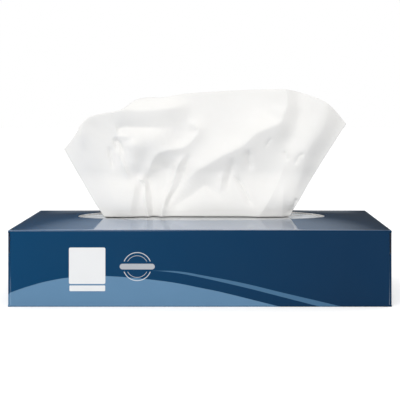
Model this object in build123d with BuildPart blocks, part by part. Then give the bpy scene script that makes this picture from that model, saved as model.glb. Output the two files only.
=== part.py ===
from build123d import *
import os
from math import comb, exp, hypot, tanh

# Flat tissue box: a carton folded from one sheet of board, with an oval opening in its bulging
# top panel, a clear film with a slit under the opening, the pile of interfolded tissues, and
# the first tissue standing up through the slit.
# Millimetres. +Z up, +Y to the back, origin at the centre of the underside.

# Carton: overall sizes at the creases, and the board
box_length = 230.0
box_depth = 115.0
box_height = 46.0
board = 0.45
crease_radius = 0.9

# Bulge of the top panel, pushed up by the pile: its control heights in front and behind
bulge_front = 3.66
bulge_rear = 8.69

# Flaps that close and join the carton, with the angles at the feet of the tapered ones
flap_side_gap = 1.0
outer_flap_gap = 3.0
inner_flap_reach = 32.0
dust_flap_reach = 38.0
dust_flap_angle = 80.0
glue_flap_reach = 14.0
glue_flap_end_gap = 8.0
glue_flap_angle = 60.0
seam_gap = 1.0

# Opening in the top panel
opening_length = 160.6
opening_depth = 54.0

# Film under the opening, glued round it, with its slit
film = 0.1
glue = 0.1
film_overlap = 13.0
film_corner_radius = 6.0
slit_end_inset = 5.3
slit_width = 7.0

# Pile of interfolded tissues, and the room around it
pile_end_gap = 10.0
pile_side_gap = 7.5
pile_headroom = 1.8
leaf_edge_radius = 4.0

# First tissue: its lower leaf on the pile, and the fan that stands up from it
tissue = 0.3
leaf_gap = 0.1
leaf_inset = 3.0
leaf_front_inset = 1.0
leaf_bend = 3.0
fan_width = 185.5
fan_shift = 2.3
fan_rise = 85.0
foot_shift = -2.0
foot_end_room = 17.6
fold_reach = 13.0
fan_tolerance = 0.2

# One overrun serves all cuts
overrun = 5.0

# Top edge of the fan, from its left corner to its right one: shares of its width and its rise
top_edge_shares = [
    (0.0, 0.540),
    (0.035, 0.633),
    (0.077, 0.760),
    (0.112, 0.802),
    (0.204, 0.842),
    (0.253, 0.915),
    (0.296, 0.938),
    (0.352, 0.938),
    (0.422, 0.964),
    (0.521, 0.981),
    (0.648, 0.995),
    (0.753, 1.0),
    (0.795, 0.995),
    (0.852, 0.965),
    (0.915, 0.909),
    (0.958, 0.836),
    (1.0, 0.733),
]

# Folds of the fan, drawn as lines on its front view. Each has its height to the front as a share
# of the fold reach, its half widths on the left and on the right of its run as shares of the fan's
# width, the shares of its length over which it starts and ends, and the places that it runs
# through as shares of the fan's width and rise
fold_shares = [
    # Long diagonal ridge and the valley beside it
    (0.65, 0.065, 0.092, 0.25, 0.0, [
        (0.394, 0.150), (0.420, 0.240), (0.463, 0.362), (0.506, 0.422), (0.560, 0.492), (0.635, 0.577),
        (0.678, 0.661), (0.729, 0.712), (0.764, 0.750), (0.775, 0.816), (0.787, 0.880), (0.785, 1.004)]),
    (-0.35, 0.038, 0.043, 0.0, 0.4, [
        (0.830, 1.004), (0.832, 0.833), (0.815, 0.688), (0.781, 0.543), (0.756, 0.407)]),
    # Right ridge
    (0.46, 0.049, 0.065, 0.0, 0.15, [
        (0.924, 0.944), (0.928, 0.799), (0.905, 0.680), (0.875, 0.590), (0.853, 0.509), (0.848, 0.432),
        (0.834, 0.338), (0.815, 0.236), (0.807, 0.150), (0.801, 0.014)]),
    # Pocket in the left half, with its level crease over it and its ridge down to the slit
    (0.38, 0.065, 0.059, 0.35, 0.45, [(0.196, 0.569), (0.319, 0.611), (0.424, 0.658)]),
    (0.25, 0.030, 0.024, 0.15, 0.15, [
        (0.432, 0.774), (0.478, 0.692), (0.456, 0.610), (0.424, 0.556), (0.374, 0.536), (0.337, 0.510),
        (0.318, 0.460), (0.305, 0.389), (0.294, 0.304)]),
    (-0.18, 0.043, 0.049, 0.3, 0.3, [(0.374, 0.475), (0.362, 0.330), (0.346, 0.159)]),
    (-0.15, 0.020, 0.020, 0.05, 0.5, [
        (0.186, 0.690), (0.217, 0.712), (0.264, 0.709), (0.350, 0.704), (0.403, 0.712)]),
    # Ridge under the top edge, and the curl at the left edge
    (0.35, 0.024, 0.054, 0.2, 0.35, [
        (0.155, 0.832), (0.217, 0.845), (0.264, 0.837), (0.319, 0.842), (0.374, 0.854), (0.421, 0.872),
        (0.475, 0.906)]),
    (0.20, 0.020, 0.043, 0.3, 0.2, [
        (0.075, 0.500), (0.066, 0.600), (0.064, 0.690), (0.080, 0.769), (0.139, 0.823), (0.217, 0.860)]),
    # Pinched fold on the left, with slopes beside it
    (0.23, 0.020, 0.020, 0.15, 0.0, [
        (0.258, 0.325), (0.282, 0.300), (0.292, 0.261), (0.292, 0.202), (0.297, 0.133), (0.308, 0.005)]),
    (-0.28, 0.020, 0.020, 0.3, 0.0, [
        (0.295, 0.372), (0.299, 0.304), (0.309, 0.236), (0.318, 0.168), (0.324, 0.005)]),
    (0.24, 0.020, 0.054, 0.3, 0.0, [(0.252, 0.330), (0.254, 0.234), (0.248, 0.140), (0.238, 0.005)]),
    (0.19, 0.049, 0.075, 0.35, 0.0, [(0.217, 0.526), (0.215, 0.372), (0.206, 0.202), (0.196, 0.005)]),
    (0.12, 0.022, 0.049, 0.1, 0.4, [(0.241, 0.624), (0.253, 0.543), (0.257, 0.441), (0.258, 0.330)]),
    # Steep fold in the middle, and the low folds between it and the right ridge
    (0.20, 0.020, 0.020, 0.25, 0.0, [
        (0.438, 0.517), (0.407, 0.424), (0.393, 0.330), (0.374, 0.227), (0.360, 0.138), (0.346, 0.005)]),
    (-0.18, 0.020, 0.020, 0.25, 0.2, [
        (0.450, 0.535), (0.436, 0.424), (0.424, 0.330), (0.405, 0.244), (0.381, 0.168), (0.368, 0.082)]),
    (-0.20, 0.027, 0.022, 0.2, 0.3, [
        (0.368, 0.074), (0.397, 0.121), (0.452, 0.193), (0.498, 0.262), (0.535, 0.220), (0.565, 0.138)]),
    (0.14, 0.020, 0.020, 0.4, 0.4, [(0.566, 0.398), (0.557, 0.287), (0.553, 0.193)]),
    (-0.15, 0.020, 0.020, 0.3, 0.4, [(0.589, 0.492), (0.594, 0.415), (0.582, 0.304), (0.575, 0.202)]),
    (-0.17, 0.020, 0.020, 0.3, 0.3, [(0.594, 0.355), (0.627, 0.270), (0.650, 0.168), (0.676, 0.103)]),
    (-0.11, 0.020, 0.020, 0.3, 0.4, [(0.650, 0.552), (0.657, 0.424), (0.669, 0.364)]),
    (0.21, 0.027, 0.020, 0.35, 0.0, [
        (0.785, 0.466), (0.764, 0.330), (0.736, 0.210), (0.713, 0.125), (0.682, 0.018)]),
    (0.18, 0.020, 0.020, 0.4, 0.0, [(0.770, 0.321), (0.771, 0.202), (0.767, 0.005)]),
]

# A fold's line is cut into short runs, and where it bends, the nearest of them count most
runs_per_fold = 14
nearness_power = 8

# The fan's sides turn to the back: from where, to which edge, and how far as a share of the reach
edge_turn_shares = [(0.11, 0.0, 0.35), (0.88, 1.0, 1.0)]
foot_turn_share = 0.25

# Room for the folds: their share of the slit, and how much further they may stand for each
# step up above it
slit_fill_share = 0.5
lean_share = 0.62

# The fan's surface is drawn through rows of points, closer together towards the slit, and it
# spreads faster at its left edge than at its right one
fan_columns = 97
fan_rows = 25
row_crowding_share = 1.2
left_spread_share = 0.8
right_spread_share = 1.0

# The thickness of the tissue lies to the back and up, so that it holds round the bend
tissue_side = (0, 2, 1)

os.makedirs("parts", exist_ok=True)

film_length = opening_length + 2 * film_overlap
film_depth = opening_depth + 2 * film_overlap
slit_length = opening_length - 2 * slit_end_inset
leaf_width = box_length - 2 * pile_end_gap
leaf_depth = box_depth - 2 * pile_side_gap
foot_width = slit_length - 2 * foot_end_room
foot_fold_reach = slit_fill_share * slit_width / 2

# How far below the outside of the top panel each layer's upper side lies
film_drop = board + glue
pile_drop = film_drop + film + pile_headroom
leaf_drop = pile_drop - leaf_gap - tissue

# Control heights of the bulge, in rows across the box: none at the creases
bulge_row = (0, bulge_front, bulge_rear, 0)
crease_row = (0, 0, 0, 0)
bulge_net = [crease_row, bulge_row, bulge_row, bulge_row, crease_row]


def net_place(size, index, count):
    """The place of a row of control points, which are spread evenly over a size."""
    return size * (index / (count - 1) - 1 / 2)


def top_surface(drop):
    """The bulging surface of the top panel over the whole box, lowered by drop."""
    points = []
    for i, row in enumerate(bulge_net):
        x = net_place(box_length, i, len(bulge_net))
        ys = [net_place(box_depth, j, len(row)) for j in range(len(row))]
        points.append([(x, y, box_height - drop + rise) for y, rise in zip(ys, row)])
    return Face.make_bezier_surface(points)


def top_height(x, y):
    """Height of the top panel's outside at one place."""
    across = len(bulge_net) - 1
    along = len(bulge_row) - 1
    u = x / box_length + 1 / 2
    v = y / box_depth + 1 / 2
    height = box_height
    for i, row in enumerate(bulge_net):
        for j, control in enumerate(row):
            weight = comb(across, i) * u**i * (1 - u) ** (across - i)
            height += weight * comb(along, j) * v**j * (1 - v) ** (along - j) * control
    return height


def outline_under_bulge(half_depth, bottom, drop):
    """Corners of an outline across the box, which the control lines of the bulge close."""
    side_top = box_height - drop
    return [
        (-half_depth, bottom),
        (half_depth, bottom),
        (half_depth, side_top),
        (net_place(box_depth, 2, len(bulge_row)), box_height + bulge_rear),
        (net_place(box_depth, 1, len(bulge_row)), box_height + bulge_front),
        (-half_depth, side_top),
    ]


def layer_under_top(drop, thickness):
    """A sheet over the whole box that follows the bulge, its upper side lowered by drop."""
    return Solid.extrude(top_surface(drop), Vector(0, 0, -thickness))


# The room inside the carton, with the flaps that line its walls left out of it
with BuildPart() as room:
    with BuildSketch(Plane.YZ) as room_section:
        with BuildLine():
            Polyline(outline_under_bulge(box_depth / 2 - board, board, board), close=True)
        make_face()
        fillet(room_section.vertices().group_by(Axis.Y)[0], crease_radius - board)
        fillet(room_section.vertices().group_by(Axis.Y)[2], crease_radius - board)
    extrude(amount=box_length / 2 - board, both=True)
    extrude(top_surface(board), amount=box_height, dir=(0, 0, 1), mode=Mode.SUBTRACT)
    # Glue flap: up from the bottom panel's back crease, inside the back panel
    with BuildSketch(Plane.XZ.offset(board - box_depth / 2)):
        with Locations((0, glue_flap_reach / 2)):
            Trapezoid(box_length - 2 * glue_flap_end_gap, glue_flap_reach, glue_flap_angle)
    extrude(amount=board, mode=Mode.SUBTRACT)
    for end in (-1, 1):
        inner_flap_x = end * (box_length / 2 - 3 * board / 2)
        dust_flap_x = inner_flap_x - end * board
        # Inner flap: up from the bottom panel
        with BuildSketch(Plane.YZ.offset(inner_flap_x)):
            with Locations((0, inner_flap_reach / 2)):
                Rectangle(box_depth, inner_flap_reach)
        extrude(amount=board / 2, both=True, mode=Mode.SUBTRACT)
        # Dust flaps: in from the front and back panels
        for side in (-1, 1):
            with BuildSketch(Plane.YZ.offset(dust_flap_x)):
                with Locations((side * (box_depth - dust_flap_reach) / 2, box_height / 2)):
                    dust_flap_height = box_height - 2 * (board + flap_side_gap)
                    Trapezoid(dust_flap_height, dust_flap_reach, dust_flap_angle, rotation=90 * side)
            extrude(amount=board / 2, both=True, mode=Mode.SUBTRACT)

# Carton: one sheet of board, folded into a tube, glued along the back and closed at its ends
with BuildPart() as carton:
    # Across the box: the back panel laps over the glue flap, a little above the bottom
    with BuildSketch(Plane.YZ) as cross_section:
        with BuildLine():
            Polyline(outline_under_bulge(box_depth / 2, 0, 0), close=True)
        make_face()
        with Locations((box_depth / 2, 0)):
            Rectangle(2 * board, 2 * seam_gap, mode=Mode.SUBTRACT)
        fillet(cross_section.vertices().group_by(Axis.Y)[0], crease_radius)
        fillet(cross_section.vertices().group_by(Axis.Y)[-3], crease_radius)
    extrude(amount=box_length / 2, both=True)
    # Along the box: the outer flaps end a little above the bottom, over the inner flaps
    with BuildSketch(Plane.XZ) as long_section:
        with BuildLine():
            shoulder = net_place(box_length, 1, len(bulge_net))
            Polyline(
                (-box_length / 2, 0),
                (box_length / 2, 0),
                (box_length / 2, box_height),
                (-shoulder, box_height + bulge_rear),
                (shoulder, box_height + bulge_rear),
                (-box_length / 2, box_height),
                close=True,
            )
        make_face()
        with Locations((-box_length / 2, 0), (box_length / 2, 0)):
            Rectangle(2 * board, 2 * outer_flap_gap, mode=Mode.SUBTRACT)
        fillet(long_section.vertices().group_by(Axis.Y)[0], crease_radius)
        fillet(long_section.vertices().group_by(Axis.Y)[-2], crease_radius)
    extrude(amount=box_depth, both=True, mode=Mode.INTERSECT)
    extrude(top_surface(0), amount=box_height, dir=(0, 0, 1), mode=Mode.SUBTRACT)
    # From above: between the creases of the top and bottom, the panels stop short of the end
    # flaps, which are narrower than the box
    crease_reach = crease_radius + board
    with BuildSketch(Plane.XY.offset(crease_reach)):
        Rectangle(box_length + overrun, box_depth + overrun)
        RectangleRounded(box_length - 4 * board, box_depth, crease_radius, mode=Mode.SUBTRACT)
        Rectangle(box_length, box_depth - 2 * flap_side_gap, mode=Mode.SUBTRACT)
    extrude(amount=box_height - 2 * crease_reach, mode=Mode.SUBTRACT)
    add(room.part, mode=Mode.SUBTRACT)
    with BuildSketch(Plane.XY.offset(box_height - overrun)):
        Ellipse(opening_length / 2, opening_depth / 2)
    extrude(amount=2 * overrun + bulge_rear, mode=Mode.SUBTRACT)
carton.part.label = "carton"
export_step(carton.part, "parts/carton.step")

# Slit film: clear film glued under the opening, following the bulge
with BuildPart() as slit_film:
    add(layer_under_top(film_drop, film))
    with BuildSketch(Plane.XY):
        RectangleRounded(film_length, film_depth, film_corner_radius)
        with BuildLine():
            slit_tips = [(-slit_length / 2, 0), (slit_length / 2, 0)]
            ThreePointArc(slit_tips[0], (0, slit_width / 2), slit_tips[1])
            ThreePointArc(slit_tips[0], (0, -slit_width / 2), slit_tips[1])
        make_face(mode=Mode.SUBTRACT)
    extrude(amount=box_height + bulge_rear, mode=Mode.INTERSECT)
slit_film.part.label = "slit_film"
export_step(slit_film.part, "parts/slit_film.step")

# Tissue stack: the interfolded pile, lying on the bottom panel, with its folded edges round
with BuildPart() as tissue_stack:
    with BuildSketch(Plane.YZ) as pile_section:
        with BuildLine():
            Polyline(outline_under_bulge(leaf_depth / 2, board, pile_drop), close=True)
        make_face()
        fillet(pile_section.vertices().group_by(Axis.X)[0], leaf_edge_radius)
        fillet(pile_section.vertices().group_by(Axis.X)[-1], leaf_edge_radius)
    extrude(amount=leaf_width / 2, both=True)
    extrude(top_surface(pile_drop), amount=box_height, dir=(0, 0, 1), mode=Mode.SUBTRACT)
tissue_stack.part.label = "tissue_stack"
export_step(tissue_stack.part, "parts/tissue_stack.step")


def blend(start, end, share):
    """The value at a share of the way between two."""
    return start + (end - start) * share


def smooth_step(share):
    """A share that starts and ends evenly between 0 and 1."""
    share = min(max(share, 0), 1)
    return share**2 * (3 - 2 * share)


def fan_place(width_share, rise_share):
    """A place on the front view of the fan."""
    x = fan_shift + (width_share - 1 / 2) * fan_width
    return (x, 0, box_height + rise_share * fan_rise)


def fold_runs(places):
    """The short runs of a fold's line, each as its start and its step."""
    line = Edge.make_spline([fan_place(*place) for place in places])
    ends = [line @ (k / runs_per_fold) for k in range(runs_per_fold + 1)]
    return [(a.X, a.Z, b.X - a.X, b.Z - a.Z) for a, b in zip(ends, ends[1:])]


folds = [(*shape, fold_runs(places)) for *shape, places in fold_shares]


def fold_height(fold, x, z):
    """How far one fold stands to the front, as a share of the reach."""
    height, left, right, start_fade, end_fade, runs = fold
    total = 0
    weights = 0
    for k, (start_x, start_z, step_x, step_z) in enumerate(runs):
        away_x = x - start_x
        away_z = z - start_z
        share = (away_x * step_x + away_z * step_z) / (step_x**2 + step_z**2)
        share = min(max(share, 0), 1)
        away_x -= share * step_x
        away_z -= share * step_z
        half_width = left if step_x * away_z > step_z * away_x else right
        distance = hypot(away_x, away_z) / (half_width * fan_width)
        along = (k + share) / len(runs)
        fade = smooth_step(along / start_fade) if start_fade else 1
        if end_fade:
            fade *= smooth_step((1 - along) / end_fade)
        weight = (hypot(away_x, away_z) + fan_tolerance) ** -nearness_power
        total += weight * fade * exp(-(distance**2))
        weights += weight
    return height * total / weights


def fan_depth(u, v, x, z):
    """How far the fan stands to the front, at shares of its width and height and its place."""
    depth = sum(fold_height(fold, x, z) for fold in folds)
    for turn_start, edge, height in edge_turn_shares:
        turn = smooth_step((u - turn_start) / (edge - turn_start))
        depth -= height * turn * blend(foot_turn_share, 1, v)
    # In the slit the folds lie close, and above it they spread
    limit = foot_fold_reach * (1 - (2 * x / slit_length) ** 2)
    limit = max(limit, 0) + lean_share * max(0, z - top_height(x, 0))
    return limit * tanh(depth * fold_reach / limit)


def fan_column(u, top_edge):
    """Points up the fan at a share of its width, from the bend under the film to the top edge."""
    top = top_edge @ u
    foot_x = foot_shift + (u - 1 / 2) * foot_width
    # A little too low, to be trimmed at the middle of the lower leaf
    foot_z = top_height(foot_x, leaf_bend) - leaf_drop - 2 * tissue
    points = []
    for row in range(fan_rows):
        v = (row / (fan_rows - 1)) ** row_crowding_share
        x = blend(foot_x, top.X, v ** blend(left_spread_share, right_spread_share, u))
        rise = (top.Z - foot_z) * v
        # Under the film the fan turns back, down to the lower leaf
        turn = max(0, 1 - rise / pile_headroom)
        y = leaf_bend * turn**2 - fan_depth(u, v, x, foot_z + rise)
        points.append((x, y, foot_z + rise))
    return points


def fan_surface():
    """The whole fan as one surface, through its columns of points."""
    top_edge = Edge.make_spline([fan_place(*place) for place in top_edge_shares])
    columns = [fan_column(column / (fan_columns - 1), top_edge) for column in range(fan_columns)]
    return Face.make_surface_from_array_of_points(columns, tol=fan_tolerance, min_deg=3)


# Lower leaf of the first tissue: it narrows from the pile's back edge to the slit
with BuildPart() as lower_leaf:
    add(layer_under_top(leaf_drop, tissue))
    with BuildSketch(Plane.XY):
        with BuildLine():
            leaf_front = leaf_bend - foot_fold_reach
            leaf_back = leaf_depth / 2 - leaf_inset
            leaf_front_width = foot_width - 2 * leaf_front_inset
            Polyline(
                (foot_shift - leaf_front_width / 2, leaf_front),
                (foot_shift + leaf_front_width / 2, leaf_front),
                (leaf_width / 2, leaf_back),
                (-leaf_width / 2, leaf_back),
                close=True,
            )
        make_face()
    extrude(amount=box_height + bulge_rear, mode=Mode.INTERSECT)

# Raised tissue: one sheet, lying on the pile, gathered in the slit and fanning out above it
with BuildPart() as raised_tissue:
    extrude(fan_surface(), amount=tissue, dir=tissue_side)
    add(layer_under_top(leaf_drop + tissue / 2, box_height / 2), mode=Mode.SUBTRACT)
    add(lower_leaf.part)
raised_tissue.part.label = "raised_tissue"
export_step(raised_tissue.part, "parts/raised_tissue.step")
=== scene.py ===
import math

import bmesh
import bpy
import numpy as np
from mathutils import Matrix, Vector


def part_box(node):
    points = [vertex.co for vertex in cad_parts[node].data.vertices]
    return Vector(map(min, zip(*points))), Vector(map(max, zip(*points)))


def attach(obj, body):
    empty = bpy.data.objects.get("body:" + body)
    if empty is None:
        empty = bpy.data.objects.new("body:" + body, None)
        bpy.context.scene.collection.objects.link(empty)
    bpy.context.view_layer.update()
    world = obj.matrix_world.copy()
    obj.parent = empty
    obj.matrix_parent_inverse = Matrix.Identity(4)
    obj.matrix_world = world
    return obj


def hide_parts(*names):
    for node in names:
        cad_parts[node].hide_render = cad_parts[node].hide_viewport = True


# Tissue box: a folded carton with an oval opening, a clear film with a slit under it, the pile of
# interfolded tissues, and the first tissue standing up through the slit.

mm = 0.001

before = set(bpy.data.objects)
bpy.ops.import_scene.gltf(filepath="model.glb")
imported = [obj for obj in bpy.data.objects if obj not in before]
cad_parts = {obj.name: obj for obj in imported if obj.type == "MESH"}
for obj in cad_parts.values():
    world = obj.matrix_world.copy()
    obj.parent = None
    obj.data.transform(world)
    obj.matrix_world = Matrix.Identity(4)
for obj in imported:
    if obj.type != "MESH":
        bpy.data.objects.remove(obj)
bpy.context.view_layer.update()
cartonLow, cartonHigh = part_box("carton")
leafLow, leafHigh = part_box("raised_tissue")
pileLow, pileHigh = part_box("tissue_stack")
filmLow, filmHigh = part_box("slit_film")


# Shape of the top panel, which every layer under it follows

topPanel = {
    "creaseHeight": 46 * mm,   # where the top panel meets the upright ones
    "bulgeFront": 3.66 * mm,   # heights of the control lines of the bulge
    "bulgeRear": 8.69 * mm,
    "board": 0.45 * mm,
}
boxLength = cartonHigh.x - cartonLow.x
boxDepth = cartonHigh.y - cartonLow.y


def topHeight(x, y):
    along = np.clip(x / boxLength + 0.5, 0, 1)
    across = np.clip(y / boxDepth + 0.5, 0, 1)
    swell = 1 - (1 - along) ** 4 - along ** 4
    front = topPanel["bulgeFront"] * 3 * across * (1 - across) ** 2
    rear = topPanel["bulgeRear"] * 3 * across ** 2 * (1 - across)
    return topPanel["creaseHeight"] + swell * (front + rear)


# Small tools for meshes

def smoothStep(value):
    value = np.clip(value, 0, 1)
    return value * value * (3 - 2 * value)


def mix(start, end, share):
    return start + (end - start) * share


def gridPiece(name, points, sheetPlaces=None):
    # points is a grid of rows and columns; a sheet's own places become its UV map
    rows, columns = points.shape[:2]
    first = np.arange(rows - 1)[:, None] * columns + np.arange(columns - 1)
    faces = np.stack([first, first + 1, first + columns + 1, first + columns], -1).reshape(-1, 4)
    mesh = bpy.data.meshes.new(name)
    mesh.from_pydata(points.reshape(-1, 3).tolist(), [], faces.tolist())
    if sheetPlaces is not None:
        layer = mesh.uv_layers.new(name="sheet")
        layer.data.foreach_set("uv", sheetPlaces.reshape(-1, 2)[faces.reshape(-1)].ravel())
    mesh.shade_smooth()
    return addObject(name, mesh)


def addObject(name, data):
    added = bpy.data.objects.new(name, data)
    bpy.context.scene.collection.objects.link(added)
    return added


def applyModifiers(piece):
    graph = bpy.context.evaluated_depsgraph_get()
    mesh = bpy.data.meshes.new_from_object(piece.evaluated_get(graph))
    piece.modifiers.clear()
    piece.data = mesh


def thicken(piece, thickness):
    wall = piece.modifiers.new("thickness", "SOLIDIFY")
    wall.thickness = thickness
    wall.offset = 0
    applyModifiers(piece)


def setMaterials(piece, *materials):
    piece.data.materials.clear()
    for material in materials:
        piece.data.materials.append(material)


# Small tools for nodes

def feed(tree, socket, value):
    if isinstance(value, bpy.types.NodeSocket):
        tree.links.new(value, socket)
    else:
        socket.default_value = value


def calc(tree, operation, *values, clamp=False):
    node = tree.nodes.new("ShaderNodeMath")
    node.operation = operation
    node.use_clamp = clamp
    for socket, value in zip(node.inputs, values):
        feed(tree, socket, value)
    return node.outputs[0]


def fadeAlong(tree, place, rise, start):
    return calc(tree, "MULTIPLY_ADD", place, rise, start, clamp=True)


def blendColors(tree, share, under, over):
    node = tree.nodes.new("ShaderNodeMix")
    node.data_type = "RGBA"
    for socket, value in ((node.inputs[0], share), (node.inputs[6], under), (node.inputs[7], over)):
        feed(tree, socket, value)
    return node.outputs[2]


def mixShaders(tree, share, under, over):
    node = tree.nodes.new("ShaderNodeMixShader")
    for socket, value in zip(node.inputs, (share, under, over)):
        tree.links.new(value, socket)
    return node.outputs[0]


def splitPlace(tree, place):
    node = tree.nodes.new("ShaderNodeSeparateXYZ")
    tree.links.new(place, node.inputs[0])
    return node.outputs


def noise(tree, place, scale, detail=2):
    node = tree.nodes.new("ShaderNodeTexNoise")
    tree.links.new(place, node.inputs["Vector"])
    feed(tree, node.inputs["Scale"], scale)
    node.inputs["Detail"].default_value = detail
    return node.outputs[0]


def srgb(red, green, blue):
    # A colour read off a screen, from 0 to 255, as a linear one
    shares = [value / 255 for value in (red, green, blue)]
    return tuple(s / 12.92 if s <= 0.04045 else ((s + 0.055) / 1.055) ** 2.4 for s in shares) + (1,)


def newMaterial(name):
    material = bpy.data.materials.new(name)
    material.use_nodes = True
    tree = material.node_tree
    return material, tree, tree.nodes["Principled BSDF"]


def objectPlace(tree):
    return tree.nodes.new("ShaderNodeTexCoord").outputs["Object"]


def bump(tree, shader, height, distance, strength=1.0):
    node = tree.nodes.new("ShaderNodeBump")
    node.inputs["Strength"].default_value = strength
    node.inputs["Distance"].default_value = distance
    tree.links.new(height, node.inputs["Height"])
    tree.links.new(node.outputs[0], shader.inputs["Normal"])


def newGroup(name, inputs, outputs):
    group = bpy.data.node_groups.new(name, "ShaderNodeTree")
    for label, kind, value in inputs:
        socket = group.interface.new_socket(label, in_out="INPUT", socket_type=kind)
        if value is not None:
            socket.default_value = value
    for label, kind in outputs:
        group.interface.new_socket(label, in_out="OUTPUT", socket_type=kind)
    return group, group.nodes.new("NodeGroupInput"), group.nodes.new("NodeGroupOutput")


def placeGroup(tree, group, **values):
    node = tree.nodes.new("ShaderNodeGroup")
    node.node_tree = group
    for label, value in values.items():
        feed(tree, node.inputs[label], value)
    return node.outputs


# Effects that more than one material uses

def makeFibreGroup():
    # Fine felted fibres, as a height and as a faint cloud of colour
    group, given, out = newGroup(
        "paperFibres",
        [("Place", "NodeSocketVector", None), ("Fineness", "NodeSocketFloat", 900.0)],
        [("Height", "NodeSocketFloat"), ("Cloud", "NodeSocketFloat")],
    )
    place, fineness = given.outputs["Place"], given.outputs["Fineness"]
    group.links.new(noise(group, place, fineness, 4), out.inputs["Height"])
    group.links.new(noise(group, place, calc(group, "MULTIPLY", fineness, 0.07)), out.inputs["Cloud"])
    return group


def makePaper(name, fineness, plain, clouded, roughness, depth, strength=0.5):
    material, tree, shader = newMaterial(name)
    felt = placeGroup(tree, fibres, Place=objectPlace(tree), Fineness=fineness)
    color = blendColors(tree, felt["Cloud"], srgb(*plain), srgb(*clouded))
    tree.links.new(color, shader.inputs["Base Color"])
    shader.inputs["Roughness"].default_value = roughness
    bump(tree, shader, felt["Height"], depth, strength)
    return material


fibres = makeFibreGroup()


# Opening and slit, which the tissue follows too

film = {
    "drop": 0.6 * mm,            # under the top of the box
    "thickness": 0.06 * mm,
    "slitLength": 150 * mm,
    "slitWidth": 7 * mm,
    "lipRise": 0.9 * mm,
    "lipReach": 7 * mm,
    "lipWave": 9 * mm,           # how long the lip's waves are
    "frontLip": 0.1,             # the tissue presses the front lip down to this share of its rise
    "columns": 161,
    "rows": 44,
    "rowSpacing": 1.2,           # above 1, rows lie closer near the slit
    "wrinkle": 0.28 * mm,        # height of the wrinkles beside the slit's ends
    "wrinklePitch": 4.6 * mm,
    "wrinkleFrom": 50 * mm,      # where they start, and over what length they rise
    "wrinkleRise": 12 * mm,
    "wrinkleTo": 82 * mm,        # where they end, and over what length they fall
    "wrinkleFall": 10 * mm,
    "wrinkleFan": 30 * mm,       # over this length they draw closer to each other
    "rimFade": 0.15,             # share of the opening over which they fade at its rim
}

board = {
    "topStep": 3 * mm,           # how finely the top panel is cut
    "sharpAngle": 32,
    "openingLength": 160.6 * mm,
    "openingDepth": 54 * mm,
    "rimShare": 0.02,            # how near the oval a face counts as its cut edge
    "skin": 0.36 * mm,           # how near the box's outside a face counts as printed
    "cornerBand": 2 * mm,        # and how near an upright corner
    "endPrint": 0.9 * mm,        # how near the end a place takes the end's print
}


# Raised tissue: one soft sheet, tucked under its own lower leaf, gathered in the slit and fanning
# out above it. Folds are lines on the front view of the fan, as shares of its width and rise.

tissue = {
    "flat": (0.21, 0.20),        # the sheet's own size, as cut
    "thickness": 0.22 * mm,
    "columns": 300,
    "fanRows": 104,
    "fanSpacing": 1.35,          # above 1, rows lie closer near the slit
    "spillSteps": 8,             # between two points of the spill's line
    "foldRows": 7,
    "leafRows": 14,
    "tuckRows": 8,
    "bendRows": (0.0, 0.35, 0.7),   # shares of the bend's height
    "fanWidth": 185.5 * mm,
    "fanShift": 2.3 * mm,
    "fanRise": 85 * mm,
    "footWidth": 114.8 * mm,
    "footShift": -2.0 * mm,
    "leftSpread": 0.8,           # below 1, the fan spreads faster near the slit
    "bend": 3 * mm,              # where the lower leaf turns up
    "leafDrop": 1.65 * mm,       # depth of each layer under the top of the box
    "tuckDrop": 2.2 * mm,
    "footDrop": 2.2 * mm,
    "tuckFront": -6 * mm,
    "leafInset": 0.8 * mm,       # between the fold and the back edge of the solid
    "ripple": 0.35 * mm,         # how the lower leaf ripples where it is gathered
    "ripples": 17,
    "spillRows": 26,
    "spillFade": 26 * mm,        # height over which the fan leans back again above the spill
    "slitReach": 1.75 * mm,      # how far the folds may stand out in the middle of the slit
    "lean": 0.62,                # and how much further with each step up
    "spillLean": 0.08,           # and with each step forward over the lip
    "leftTurn": 4.5 * mm,        # how far the fan's sides turn to the back
    "leftTurnShare": 0.11,       # and over what share of its width
    "rightTurn": 6.5 * mm,
    "rightTurnShare": 0.10,
    "nearness": 8,               # how much the nearest part of a bent fold counts
}

# How the sheet lies over the front lip of the slit, in mm: to the front, and above the film
spillLine = [
    (0.0, -0.8), (0.2, 0.25), (4.0, 0.40), (9.0, 0.45), (12.6, 0.55), (13.3, 1.0), (13.3, 3.0),
]

# Top edge of the fan, as shares of its width and rise
topEdge = [
    (0.000, 0.540), (0.035, 0.633), (0.077, 0.760), (0.112, 0.802), (0.204, 0.842), (0.253, 0.915),
    (0.296, 0.938), (0.352, 0.938), (0.422, 0.964), (0.521, 0.981), (0.648, 0.995), (0.753, 1.000),
    (0.795, 0.995), (0.852, 0.965), (0.915, 0.909), (0.958, 0.836), (1.000, 0.733),
]

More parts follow.
